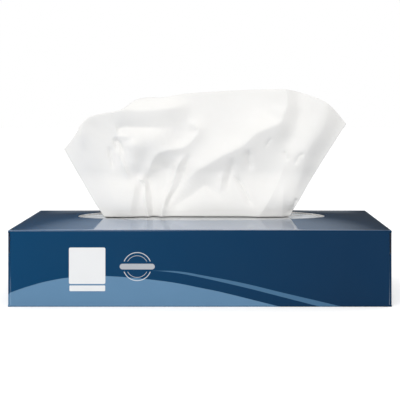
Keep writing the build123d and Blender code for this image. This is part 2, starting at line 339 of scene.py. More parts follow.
# Each fold: its height to the front, its half widths left and right of its line, both in mm, the
# sharpness of its crest, the shares of its length over which it starts and ends, and its line
folds = {
    "diagonal ridge": (8.5, 12, 17, 1.25, 0.25, 0.0, [
        (0.394, 0.150), (0.420, 0.240), (0.463, 0.362), (0.506, 0.422), (0.560, 0.492), (0.635, 0.577),
        (0.678, 0.661), (0.729, 0.712), (0.764, 0.750), (0.775, 0.816), (0.787, 0.880), (0.785, 1.004)]),
    "valley by it": (-4.5, 7, 8, 1.8, 0.0, 0.4, [
        (0.830, 1.004), (0.832, 0.833), (0.815, 0.688), (0.781, 0.543), (0.756, 0.407)]),
    "right ridge": (4.6, 9, 17, 1.6, 0.0, 0.15, [
        (0.924, 0.944), (0.928, 0.799), (0.905, 0.680), (0.875, 0.590), (0.853, 0.509),
        (0.848, 0.432), (0.834, 0.338), (0.815, 0.236), (0.807, 0.150), (0.801, 0.014)]),
    "pocket belly": (5.0, 12, 11, 2.0, 0.35, 0.45, [(0.196, 0.569), (0.319, 0.611), (0.424, 0.658)]),
    "pocket ridge": (3.2, 5.5, 4.5, 1.3, 0.15, 0.15, [
        (0.432, 0.774), (0.478, 0.692), (0.456, 0.610), (0.424, 0.556), (0.374, 0.536),
        (0.337, 0.510), (0.318, 0.460), (0.305, 0.389), (0.294, 0.304)]),
    "hollow": (-2.4, 8, 9, 2.0, 0.3, 0.3, [(0.374, 0.475), (0.362, 0.330), (0.346, 0.159)]),
    "pinch ridge": (3.0, 3.0, 1.4, 1.2, 0.15, 0.0, [
        (0.258, 0.325), (0.282, 0.300), (0.292, 0.261), (0.292, 0.202), (0.297, 0.133), (0.308, 0.005)]),
    "pinch valley": (-3.6, 3.6, 3.0, 1.6, 0.3, 0.0, [
        (0.295, 0.372), (0.299, 0.304), (0.309, 0.236), (0.318, 0.168), (0.324, 0.005)]),
    "left ridge": (3.2, 3.5, 10, 1.4, 0.3, 0.0, [
        (0.252, 0.330), (0.254, 0.234), (0.248, 0.140), (0.238, 0.005)]),
    "left slope": (2.5, 9, 14, 2.0, 0.35, 0.0, [
        (0.217, 0.526), (0.215, 0.372), (0.206, 0.202), (0.196, 0.005)]),
    "left crease": (-1.5, 1.6, 1.3, 1.3, 0.3, 0.4, [
        (0.163, 0.577), (0.166, 0.509), (0.172, 0.441), (0.180, 0.360)]),
    "inner crease": (-1.5, 1.2, 1.0, 1.3, 0.3, 0.5, [(0.180, 0.637), (0.186, 0.577), (0.193, 0.500)]),
    "outer crease": (-2.0, 1.2, 1.6, 1.3, 0.3, 0.4, [(0.180, 0.637), (0.202, 0.577), (0.218, 0.492)]),
    "upright ridge": (2.2, 4, 9, 1.4, 0.2, 0.4, [
        (0.241, 0.624), (0.253, 0.543), (0.257, 0.441), (0.258, 0.330)]),
    "roof ridge": (1.2, 1.6, 4, 1.3, 0.3, 0.3, [(0.184, 0.639), (0.217, 0.640), (0.239, 0.618)]),
    "thin ridge": (1.2, 1.2, 1.6, 1.3, 0.2, 0.3, [
        (0.194, 0.569), (0.203, 0.492), (0.219, 0.398), (0.239, 0.287)]),
    "level crease": (-2.0, 3, 3.5, 1.2, 0.05, 0.5, [
        (0.186, 0.690), (0.217, 0.712), (0.264, 0.709), (0.350, 0.704), (0.403, 0.712)]),
    "upper ridge": (4.6, 4.5, 10, 1.6, 0.2, 0.35, [
        (0.155, 0.832), (0.217, 0.845), (0.264, 0.837), (0.319, 0.842), (0.374, 0.854), (0.421, 0.872),
        (0.475, 0.906)]),
    "left curl": (2.6, 3.0, 8, 1.6, 0.3, 0.2, [
        (0.075, 0.500), (0.066, 0.600), (0.064, 0.690), (0.080, 0.769), (0.139, 0.823), (0.217, 0.860)]),
    "steep ridge": (2.6, 2.2, 2.2, 1.3, 0.25, 0.0, [
        (0.438, 0.517), (0.407, 0.424), (0.393, 0.330), (0.374, 0.227), (0.360, 0.138), (0.346, 0.005)]),
    "steep valley": (-2.4, 2.2, 2.4, 1.4, 0.25, 0.2, [
        (0.450, 0.535), (0.436, 0.424), (0.424, 0.330), (0.405, 0.244), (0.381, 0.168), (0.368, 0.082)]),
    "steep hair crease": (-1.0, 0.8, 0.8, 1.3, 0.3, 0.3, [(0.391, 0.313), (0.374, 0.244), (0.361, 0.176)]),
    "low valley": (-2.6, 5, 4, 1.5, 0.2, 0.3, [
        (0.368, 0.074), (0.397, 0.121), (0.452, 0.193), (0.498, 0.262), (0.535, 0.220), (0.565, 0.138)]),
    "short ridge": (1.8, 2.6, 3.2, 1.5, 0.4, 0.4, [(0.566, 0.398), (0.557, 0.287), (0.553, 0.193)]),
    "short valley": (-2.0, 2.6, 3, 1.5, 0.3, 0.4, [
        (0.589, 0.492), (0.594, 0.415), (0.582, 0.304), (0.575, 0.202)]),
    "slant valley": (-2.6, 2.2, 2.0, 1.3, 0.3, 0.3, [
        (0.594, 0.355), (0.627, 0.270), (0.650, 0.168), (0.676, 0.103)]),
    "middle valley": (-2.1, 2.5, 2.6, 1.5, 0.3, 0.4, [(0.650, 0.552), (0.657, 0.424), (0.669, 0.364)]),
    "middle hair crease": (-0.7, 0.9, 0.9, 1.3, 0.3, 0.3, [
        (0.733, 0.639), (0.718, 0.577), (0.708, 0.553)]),
    "low right ridge": (2.2, 5.0, 3.6, 1.3, 0.35, 0.0, [
        (0.785, 0.466), (0.764, 0.330), (0.736, 0.210), (0.713, 0.125), (0.682, 0.018)]),
    "foot ridge": (1.6, 2.6, 3.8, 1.4, 0.4, 0.0, [(0.770, 0.321), (0.771, 0.202), (0.767, 0.005)]),
    "right crease": (-1.2, 1.2, 1.2, 1.3, 0.2, 0.3, [(0.851, 0.507), (0.830, 0.487), (0.815, 0.417)]),
    "small crease": (-1.1, 1.1, 1.1, 1.3, 0.2, 0.3, [(0.778, 0.530), (0.784, 0.492), (0.793, 0.447)]),
    "foot crease": (-1.6, 1.5, 1.5, 1.3, 0.2, 0.2, [(0.819, 0.176), (0.810, 0.116), (0.795, 0.052)]),
}
curveSteps = 5


def splinePoints(points, steps=curveSteps):
    # A smooth line through the points
    p = np.array(points, float)
    p = np.vstack([2 * p[0] - p[1], p, 2 * p[-1] - p[-2]])
    share = (np.arange(steps) / steps)[:, None]
    parts = []
    for a, b, c, d in zip(p, p[1:], p[2:], p[3:]):
        parts.append(0.5 * (2 * b + (c - a) * share + (2 * a - 5 * b + 4 * c - d) * share ** 2
                            + (3 * b - a - 3 * c + d) * share ** 3))
    return np.vstack(parts + [p[-2:-1]])


def foldHeight(x, z, height, left, right, sharpness, fadeIn, fadeOut, points):
    line = splinePoints([(fanX(across), fanZ(up)) for across, up in points])
    steps = np.diff(line, axis=0)
    lengths = np.hypot(steps[:, 0], steps[:, 1])
    starts = np.concatenate([[0], np.cumsum(lengths)])
    total, weights = 0, 0
    for start, step, length, gone in zip(line, steps, lengths, starts):
        fromX, fromZ = x - start[0], z - start[1]
        share = np.clip((fromX * step[0] + fromZ * step[1]) / length ** 2, 0, 1)
        fromX, fromZ = fromX - share * step[0], fromZ - share * step[1]
        distance = np.hypot(fromX, fromZ)
        width = np.where(step[0] * fromZ > step[1] * fromX, left, right) * mm
        along = (gone + share * length) / starts[-1]
        shape = np.exp(-(distance / width) ** sharpness)
        if fadeIn:
            shape = shape * smoothStep(along / fadeIn)
        if fadeOut:
            shape = shape * smoothStep((1 - along) / fadeOut)
        weight = (distance + 0.1 * mm) ** -tissue["nearness"]
        total = total + weight * shape
        weights = weights + weight
    return height * mm * total / weights


def fanX(share):
    return tissue["fanShift"] + (share - 0.5) * tissue["fanWidth"]


def fanZ(share):
    return topPanel["creaseHeight"] + share * tissue["fanRise"]


def fanDepth(u, v, x, z):
    # How far the fan stands to the front, at shares of its width and height and its place
    depth = 0
    for fold in folds.values():
        depth = depth + foldHeight(x, z, *fold)
    left, right = tissue["leftTurnShare"], tissue["rightTurnShare"]
    turn = tissue["leftTurn"] * smoothStep((left - u) / left)
    turn = turn + tissue["rightTurn"] * smoothStep((u - (1 - right)) / right)
    return depth - turn * mix(0.25, 1, v)


def softLimit(value, limit):
    return limit * np.tanh(value / limit)


def slitRoom(x):
    # Share of the slit's full width that is left at x
    return np.clip(1 - (2 * x / film["slitLength"]) ** 2, 0.05, 1)


def openingRoom(x):
    # Share of the oval opening's full depth at x
    return np.sqrt(np.clip(1 - (2 * x / board["openingLength"]) ** 2, 0.05, 1))


def raisedTissuePoints():
    u = np.linspace(0, 1, tissue["columns"])[None, :]
    leafHalf = (leafHigh.x - leafLow.x) / 2
    leafBack = leafHigh.y - tissue["leafInset"]
    leafX = (2 * u - 1) * leafHalf
    footX = tissue["footShift"] + (u - 0.5) * tissue["footWidth"]
    turn = (tissue["tuckDrop"] - tissue["leafDrop"]) / 2
    rows = []

    # Fan, from the bend under the film to the top edge
    edge = splinePoints([(fanX(a), fanZ(b)) for a, b in topEdge])
    reach = np.concatenate([[0], np.cumsum(np.hypot(*np.diff(edge, axis=0).T))])
    edgeX = np.interp(u[0], reach / reach[-1], edge[:, 0])[None, :]
    edgeZ = np.interp(u[0], reach / reach[-1], edge[:, 1])[None, :]
    footZ = topHeight(footX, 0 * footX) - tissue["footDrop"]
    filmZ = topHeight(footX, 0 * footX) - film["drop"]
    spill = splinePoints(np.array(spillLine) * mm, tissue["spillSteps"])
    gone = np.concatenate([[0], np.cumsum(np.hypot(*np.diff(spill, axis=0).T))])
    rowPlaces = np.linspace(0, 1, tissue["spillRows"]) * gone[-1]
    forward = np.interp(rowPlaces, gone, spill[:, 0])[:, None]
    above = np.interp(rowPlaces, gone, spill[:, 1])[:, None]
    # Up the fan, from the end of the spill to the top edge
    rise = (np.arange(1, tissue["fanRows"]) / (tissue["fanRows"] - 1))[:, None] ** tissue["fanSpacing"]
    startZ = filmZ + spill[-1, 1]
    z = np.concatenate([filmZ + above, mix(startZ, edgeZ, rise)])
    v = np.clip((z - footZ) / (edgeZ - footZ), 0, 1)
    x = mix(footX, edgeX, v ** mix(tissue["leftSpread"], 1.0, u))
    up = np.clip((z - startZ) / tissue["spillFade"], 0, 1)
    lying = np.concatenate([forward + 0 * u, spill[-1, 0] * (1 - smoothStep(up[len(above):]))])
    lying = lying * openingRoom(x)
    limit = tissue["slitReach"] * slitRoom(x) + tissue["spillLean"] * lying
    limit = limit + tissue["lean"] * np.clip(z - filmZ, 0, None)
    y = -lying - softLimit(fanDepth(u, v, x, z), limit)
    # Over the film it follows the film's slope
    slope = (topHeight(x, y) - topHeight(x, 0 * y)) * np.clip(lying / mm, 0, 1)
    z[:len(above)] += slope[:len(above)]
    fan = np.stack([x, y, z], -1)
    footDepth = softLimit(fanDepth(u, 0 * u, footX, footZ), tissue["slitReach"] * slitRoom(footX))
    bendRows = []
    for share in tissue["bendRows"]:
        bendY = tissue["bend"] * (1 - share) ** 2 - footDepth
        bendRows.append(np.stack([footX, bendY, mix(footZ, filmZ + spill[0, 1], share)], -1)[0])
    fan = np.concatenate([np.array(bendRows), fan])

    # Lower leaf, from the fold at the pile's back edge to the bend, gathered towards the slit
    for row in range(tissue["leafRows"]):
        share = row / tissue["leafRows"]
        gather = smoothStep(np.array(share))
        rowX = mix(leafX, footX, share ** 1.2)
        rowY = mix(leafBack, fan[0, :, 1][None, :], share)
        drop = mix(tissue["leafDrop"], tissue["footDrop"], share ** 4)
        turns = u * 2 * math.pi * tissue["ripples"] + 3 * np.sin(u * 9)
        ripple = tissue["ripple"] * gather * np.sin(turns)
        rows.append(np.stack([rowX, rowY + 0 * u, topHeight(rowX, rowY) - drop + ripple], -1)[0])
    # Fold, and the layer tucked back under the lower leaf
    foldRows = []
    for angle in np.linspace(math.pi / 2, -math.pi / 2, tissue["foldRows"])[1:-1]:
        rowY = leafBack + turn * math.cos(angle) + 0 * u
        middle = topHeight(leafX, leafBack + 0 * u) - tissue["leafDrop"] - turn
        foldRows.append(np.stack([leafX, rowY, middle + turn * math.sin(angle)], -1)[0])
    tuckRows = []
    for share in np.linspace(0, 1, tissue["tuckRows"]):
        rowY = mix(leafBack, tissue["tuckFront"], share) + 0 * u
        tuckRows.append(np.stack([leafX, rowY, topHeight(leafX, rowY) - tissue["tuckDrop"]], -1)[0])
    points = np.array(tuckRows[::-1] + foldRows[::-1] + rows + list(fan))
    # The sheet's own places, for its crepe: along it, rows are as far apart as they lie
    step = np.linalg.norm(np.diff(points, axis=0), axis=-1).mean(1)
    sheetV = np.concatenate([[0], np.cumsum(step)])
    sheetV = sheetV / sheetV[-1] * tissue["flat"][1]
    places = np.stack(np.broadcast_arrays(u * tissue["flat"][0], sheetV[:, None]), -1)
    return points, places


def makeTissueMaterial():
    material, tree, shader = newMaterial("softTissue")
    place = tree.nodes.new("ShaderNodeUVMap")
    place.uv_map = "sheet"
    stretch = tree.nodes.new("ShaderNodeMapping")   # the crepe runs across the sheet
    stretch.inputs["Scale"].default_value = (0.55, 1.8, 1)
    tree.links.new(place.outputs[0], stretch.inputs[0])
    crepe = noise(tree, stretch.outputs[0], 260, 5)
    felt = placeGroup(tree, fibres, Place=objectPlace(tree), Fineness=1400.0)
    height = calc(tree, "ADD", crepe, calc(tree, "MULTIPLY", felt["Height"], 0.6))
    color = blendColors(tree, felt["Cloud"], srgb(249, 248, 246), srgb(245, 244, 241))
    tree.links.new(color, shader.inputs["Base Color"])
    shader.inputs["Roughness"].default_value = 0.95
    shader.inputs["Specular IOR Level"].default_value = 0.15
    shader.inputs["Sheen Weight"].default_value = 0.12
    shader.inputs["Sheen Roughness"].default_value = 0.5
    bump(tree, shader, height, 0.09 * mm, 0.6)
    return material


def makeRaisedTissue(material):
    points, places = raisedTissuePoints()
    piece = gridPiece("raisedTissue", points, places)
    thicken(piece, tissue["thickness"])
    setMaterials(piece, material)
    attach(piece, "root")
    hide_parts("raised_tissue")
    return piece


raisedTissue = makeRaisedTissue(makeTissueMaterial())
print("raised tissue made:", len(raisedTissue.data.polygons), "faces")


# Carton: the folded board, cut finer over its bulging top so that its gloss is smooth

def cutTopFiner(mesh):
    shape = bmesh.new()
    shape.from_mesh(mesh)
    bmesh.ops.remove_doubles(shape, verts=shape.verts, dist=0.0005 * mm)
    for axis, length in ((0, boxLength), (1, boxDepth)):
        for k in range(1, round(length / board["topStep"])):
            place = Vector((0, 0, 0))
            place[axis] = k * board["topStep"] - length / 2
            normal = Vector((0, 0, 0))
            normal[axis] = 1
            top = [f for f in shape.faces if isOutsideTop(f)]
            edges = dict.fromkeys(e for f in top for e in f.edges)
            corners = dict.fromkeys(v for f in top for v in f.verts)
            parts = top + list(edges) + list(corners)
            bmesh.ops.bisect_plane(shape, geom=parts, dist=0.01 * mm, plane_co=place, plane_no=normal)
    for vert in shape.verts:
        if any(isOutsideTop(f) for f in vert.link_faces):
            if abs(vert.co.x) < boxLength / 2 - 1 * mm and abs(vert.co.y) < boxDepth / 2 - 1 * mm:
                vert.co.z = topHeight(vert.co.x, vert.co.y)
    shape.to_mesh(mesh)
    shape.free()


def isOutsideTop(face):
    place = face.calc_center_median()
    return face.normal.z > 0.5 and place.z > topHeight(place.x, place.y) - 0.2 * mm


def faceKind(face):
    # 0 the printed outside, 1 the raw inside, 2 a cut edge
    c, n = face.center, face.normal
    fromCenter = math.hypot(2 * c.x / board["openingLength"], 2 * c.y / board["openingDepth"])
    onRim = abs(fromCenter - 1) < board["rimShare"]
    if onRim and abs(n.z) < 0.6 and c.z > topPanel["creaseHeight"] - 1 * mm:
        return 2
    gaps = (
        (topHeight(c.x, c.y) - c.z, n.z),
        (c.z, -n.z),
        (boxDepth / 2 - abs(c.y), n.y * math.copysign(1, c.y)),
        (boxLength / 2 - abs(c.x), n.x * math.copysign(1, c.x)),
    )
    if any(gap < board["skin"] and facing > 0.2 for gap, facing in gaps):
        return 0
    band = board["cornerBand"]
    if abs(c.x) > boxLength / 2 - band and abs(c.y) > boxDepth / 2 - band:
        return 0
    if abs(c.x) > boxLength / 2 - 3 * topPanel["board"]:
        if abs(n.y) > 0.7:
            return 0
        if abs(n.z) > 0.7:
            return 2
    return 1


def makeCarton(materials):
    piece = addObject("foldedCarton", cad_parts["carton"].data.copy())
    cutTopFiner(piece.data)
    setMaterials(piece, *materials)
    piece.data.polygons.foreach_set("material_index", [faceKind(face) for face in piece.data.polygons])
    piece.data.shade_smooth()
    piece.data.set_sharp_from_angle(angle=math.radians(board["sharpAngle"]))
    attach(piece, "root")
    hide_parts("carton")
    return piece


# Print: fields of colour on the front and back panels, which run round the ends

ink = {
    "ground": srgb(12, 52, 86),
    # painted light: the ground is lighter towards the left end, where the key light falls
    "groundLitLeft": srgb(6, 70, 112),
    "topReflectionLeft": srgb(12, 98, 154),   # painted reflection: the top panel is lighter towards its left end, as if its gloss caught a bright room there
    "wave": srgb(107, 148, 183),
    "stripe": srgb(80, 122, 157),
    "panel": srgb(252, 253, 254),
    "fibre": srgb(60, 80, 100),
    "softness": 0.12 * mm,
    "litTowardsLeft": (-1.1, 0.42),         # how each painted lightening comes in towards the left: its rise over the box's length,
    "topReflectionToLeft": (-0.95, 0.56),     # and its share in the middle
    "stripeStart": (20, -7.4),      # how the stripe comes in along the front
}

# Bare places of the label and the round mark, along the front from its middle and up from its foot
marks = {
    "panels": (                     # center, size and corner radius
        ((-67.5 * mm, 24.7 * mm), (21.8 * mm, 21.8 * mm), 0.9 * mm),
        ((-67.4 * mm, 11.2 * mm), (21.4 * mm, 3.4 * mm), 0.5 * mm),
    ),
    "seal": (-37.5 * mm, 24.2 * mm),
    "rings": ((8.4 * mm, 0.45 * mm, 0.75), (6.5 * mm, 0.3 * mm, 0.6)),   # radius, width and strength
    "ringGap": 3.1 * mm,            # how far over and under the band the rings stay off
    "band": (21 * mm, 3.4 * mm),
    "bandStrength": 0.55,
}

waveEdge = [  # shares of the front's length and height
    (0.000, 0.175), (0.066, 0.287), (0.112, 0.345), (0.159, 0.383), (0.215, 0.402), (0.265, 0.400),
    (0.330, 0.378), (0.409, 0.334), (0.445, 0.306), (0.503, 0.248), (0.544, 0.207), (0.597, 0.144),
    (0.644, 0.085), (0.710, 0.004), (1.000, -0.330),
]
stripeTop = [
    (0.375, 0.476), (0.409, 0.473), (0.445, 0.463), (0.511, 0.408), (0.611, 0.312), (0.710, 0.193),
    (0.810, 0.076), (0.874, 0.000), (1.000, -0.150),
]
stripeBottom = [
    (0.375, 0.471), (0.409, 0.460), (0.445, 0.439), (0.503, 0.384), (0.566, 0.314), (0.628, 0.241),
    (0.691, 0.161), (0.753, 0.081), (0.816, 0.000), (1.000, -0.235),
]


def edgeCurve(tree, along, points):
    # Height of a printed edge at a share of the panel's length
    node = tree.nodes.new("ShaderNodeFloatCurve")
    curve = node.mapping.curves[0]
    node.mapping.use_clip = False
    while len(curve.points) < len(points):
        curve.points.new(0.5, 0.5)
    for spot, (share, up) in zip(curve.points, points):
        spot.location = (share, up)
    node.mapping.update()
    tree.links.new(along, node.inputs["Value"])
    return calc(tree, "MULTIPLY", node.outputs[0], topPanel["creaseHeight"])


def insideMask(tree, gap):
    # 1 where gap is above zero, with a soft printed edge
    return calc(tree, "MULTIPLY_ADD", gap, 1 / ink["softness"], 0.5, clamp=True)


def hypotenuse(tree, first, second):
    squares = [calc(tree, "MULTIPLY", side, side) for side in (first, second)]
    return calc(tree, "SQRT", calc(tree, "ADD", *squares))


def roundedPanel(tree, along, up, center, size, corner):
    beyond = []
    for place, middle, length in zip((along, up), center, size):
        off = calc(tree, "ABSOLUTE", calc(tree, "SUBTRACT", place, middle))
        beyond.append(calc(tree, "MAXIMUM", calc(tree, "SUBTRACT", off, length / 2 - corner), 0))
    return insideMask(tree, calc(tree, "SUBTRACT", corner, hypotenuse(tree, *beyond)))


def ring(tree, along, up, center, radius, width):
    sides = [calc(tree, "SUBTRACT", place, middle) for place, middle in zip((along, up), center)]
    off = calc(tree, "ABSOLUTE", calc(tree, "SUBTRACT", hypotenuse(tree, *sides), radius))
    return insideMask(tree, calc(tree, "SUBTRACT", width / 2, off))


def makePrintedBoard():
    material, tree, shader = newMaterial("printedBoard")
    place = objectPlace(tree)
    x, y, z = splitPlace(tree, place)
    # Along the front it runs with x, along the back against it, and on past each one's left end
    side = calc(tree, "SIGN", y)
    alongPanel = calc(tree, "MULTIPLY", calc(tree, "MULTIPLY", x, side), -1)
    onEnd = calc(tree, "GREATER_THAN", calc(tree, "ABSOLUTE", x), boxLength / 2 - board["endPrint"])
    endSide = calc(tree, "MULTIPLY", y, calc(tree, "SIGN", x))
    pastEnd = calc(tree, "SUBTRACT", endSide, boxLength / 2 + boxDepth / 2)
    along = calc(tree, "ADD", calc(tree, "MULTIPLY", alongPanel, calc(tree, "SUBTRACT", 1, onEnd)),
                 calc(tree, "MULTIPLY", pastEnd, onEnd))
    share = calc(tree, "ADD", calc(tree, "DIVIDE", along, boxLength), 0.5)
    wave = insideMask(tree, calc(tree, "SUBTRACT", edgeCurve(tree, share, waveEdge), z))
    above = insideMask(tree, calc(tree, "SUBTRACT", z, edgeCurve(tree, share, stripeBottom)))
    below = insideMask(tree, calc(tree, "SUBTRACT", edgeCurve(tree, share, stripeTop), z))
    begins = fadeAlong(tree, share, *ink["stripeStart"])
    stripe = calc(tree, "MULTIPLY", calc(tree, "MULTIPLY", above, below), begins)
    notUnder = calc(tree, "GREATER_THAN", z, 0.02 * mm)
    fromMiddle = calc(tree, "DIVIDE", x, boxLength)
    # painted light: the ground grows lighter towards the box's left end, where the key light falls
    litTowardsLeft = fadeAlong(tree, fromMiddle, *ink["litTowardsLeft"])
    ground = blendColors(tree, litTowardsLeft, ink["ground"], ink["groundLitLeft"])
    # painted reflection: the top panel grows lighter towards its left end
    onTop = calc(tree, "GREATER_THAN", z, topPanel["creaseHeight"] + 0.02 * mm)
    topReflectionLeft = fadeAlong(tree, fromMiddle, *ink["topReflectionToLeft"])
    ground = blendColors(tree, calc(tree, "MULTIPLY", onTop, topReflectionLeft), ground, ink["topReflectionLeft"])
    color = blendColors(tree, calc(tree, "MULTIPLY", wave, notUnder), ground, ink["wave"])
    color = blendColors(tree, calc(tree, "MULTIPLY", stripe, notUnder), color, ink["stripe"])
    for center, size, corner in marks["panels"]:
        color = blendColors(tree, roundedPanel(tree, along, z, center, size, corner), color, ink["panel"])
    fromBand = calc(tree, "ABSOLUTE", calc(tree, "SUBTRACT", z, marks["seal"][1]))
    offBand = calc(tree, "GREATER_THAN", fromBand, marks["ringGap"])
    for radius, width, strength in marks["rings"]:
        line = calc(tree, "MULTIPLY", ring(tree, along, z, marks["seal"], radius, width), offBand)
        color = blendColors(tree, calc(tree, "MULTIPLY", line, strength), color, ink["panel"])
    band = roundedPanel(tree, along, z, marks["seal"], marks["band"], marks["band"][1] / 2)
    color = blendColors(tree, calc(tree, "MULTIPLY", band, marks["bandStrength"]), color, ink["panel"])
    felt = placeGroup(tree, fibres, Place=place, Fineness=500.0)
    color = blendColors(tree, calc(tree, "MULTIPLY", felt["Cloud"], 0.10), color, ink["fibre"])
    tree.links.new(color, shader.inputs["Base Color"])
    shader.inputs["Roughness"].default_value = 0.1
    shader.inputs["IOR"].default_value = 1.65
    shader.inputs["Coat Weight"].default_value = 0.9   # the varnish over the ink
    shader.inputs["Coat Roughness"].default_value = 0.05
    waves = noise(tree, place, 26, 1.5)
    height = calc(tree, "ADD", waves, calc(tree, "MULTIPLY", felt["Height"], 0.012))
    bump(tree, shader, height, 0.25 * mm, 0.4)
    return material


carton = makeCarton([
    makePrintedBoard(),
    makePaper("rawBoard", 700.0, (164, 148, 130), (188, 174, 156), 0.9, 0.08 * mm),
    makePaper("cutEdge", 1100.0, (236, 232, 224), (246, 244, 240), 0.85, 0.06 * mm),
])
print("carton made:", len(carton.data.polygons), "faces")


# Slit film: clear film glued under the opening, its lips pushed up a little by the tissue

def filmPoints(side):
    x = np.linspace(filmLow.x, filmHigh.x, film["columns"])[None, :]
    nearSlit = np.clip(1 - (2 * x / film["slitLength"]) ** 2, 0, 1)
    inner = film["slitWidth"] / 2 * nearSlit
    share = (np.arange(film["rows"]) / (film["rows"] - 1))[:, None] ** film["rowSpacing"]
    away = mix(inner, filmHigh.y, share)
    y = side * away
    lip = film["lipRise"] * nearSlit ** 0.5 * np.exp(-((away - inner) / film["lipReach"]) ** 2)
    lip = lip * (0.7 + 0.3 * np.sin(x / film["lipWave"] + side)) * (1.0 if side > 0 else film["frontLip"])
    fromStart = np.abs(x) - film["wrinkleFrom"]
    toEnd = smoothStep(fromStart / film["wrinkleRise"])
    toEnd = toEnd * smoothStep((film["wrinkleTo"] - np.abs(x)) / film["wrinkleFall"])
    fan = y / film["wrinklePitch"] * (1 + 0.6 * np.clip(fromStart / film["wrinkleFan"], 0, 1))
    wrinkle = np.cos(2 * math.pi * fan + np.sin(x / (7 * mm)) + 1.7 * np.sin(1.9 * fan + 1.3)) - 0.5
    wrinkle = wrinkle * (0.65 + 0.35 * np.sin(2.3 * fan + x / (11 * mm)))
    fromRim = 1 - np.hypot(2 * x / board["openingLength"], 2 * y / board["openingDepth"])
    wrinkle = wrinkle * toEnd * film["wrinkle"] * smoothStep(fromRim / film["rimFade"])
    z = topHeight(x, y) - film["drop"] + lip + wrinkle
    return np.stack([x + 0 * y, y, z], -1)


def makeClearFilm():
    # Both faces of the film reflect, and what they don't reflect passes through
    material, tree, shader = newMaterial("clearFilm")
    shader.inputs["Base Color"].default_value = srgb(248, 249, 250)
    shader.inputs["Metallic"].default_value = 0.25
    shader.inputs["Roughness"].default_value = 0.08
    facing = tree.nodes.new("ShaderNodeFresnel")
    facing.inputs["IOR"].default_value = 1.5
    twice = calc(tree, "MULTIPLY", facing.outputs[0], 2)
    alpha = calc(tree, "DIVIDE", twice, calc(tree, "ADD", facing.outputs[0], 1), clamp=True)
    tree.links.new(alpha, shader.inputs["Alpha"])
    bump(tree, shader, noise(tree, objectPlace(tree), 60), 0.3 * mm, 0.3)
    return material


def makeFilm(material):
    piece = gridPiece("slitFilm", filmPoints(-1))
    rear = gridPiece("rearHalf", filmPoints(1)[:, ::-1])
    shape = bmesh.new()
    shape.from_mesh(piece.data)
    shape.from_mesh(rear.data)
    bmesh.ops.remove_doubles(shape, verts=shape.verts, dist=0.001 * mm)
    bmesh.ops.recalc_face_normals(shape, faces=shape.faces)
    shape.to_mesh(piece.data)
    shape.free()
    bpy.data.objects.remove(rear)
    thicken(piece, film["thickness"])
    setMaterials(piece, material)
    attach(piece, "root")
    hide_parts("slit_film")
    return piece


slitFilm = makeFilm(makeClearFilm())
print("film made:", len(slitFilm.data.polygons), "faces")


# Pile of interfolded tissues: one leaf repeated up the pile, then bent to follow the top panel

pile = {
    "leaves": 48,
    "leafCuts": (25, 15, 2),   # rows of points along, across and through a leaf
    "leafShare": 0.86,         # of the pitch that a leaf fills, the rest is the gap over it
    "edgeJitter": 0.5 * mm,    # how unevenly the folded edges lie
    "edgeInset": 2.2 * mm,     # how far the outermost leaves pull in at their folded edges
    "drop": 2.45 * mm,
    "seed": 7,
}


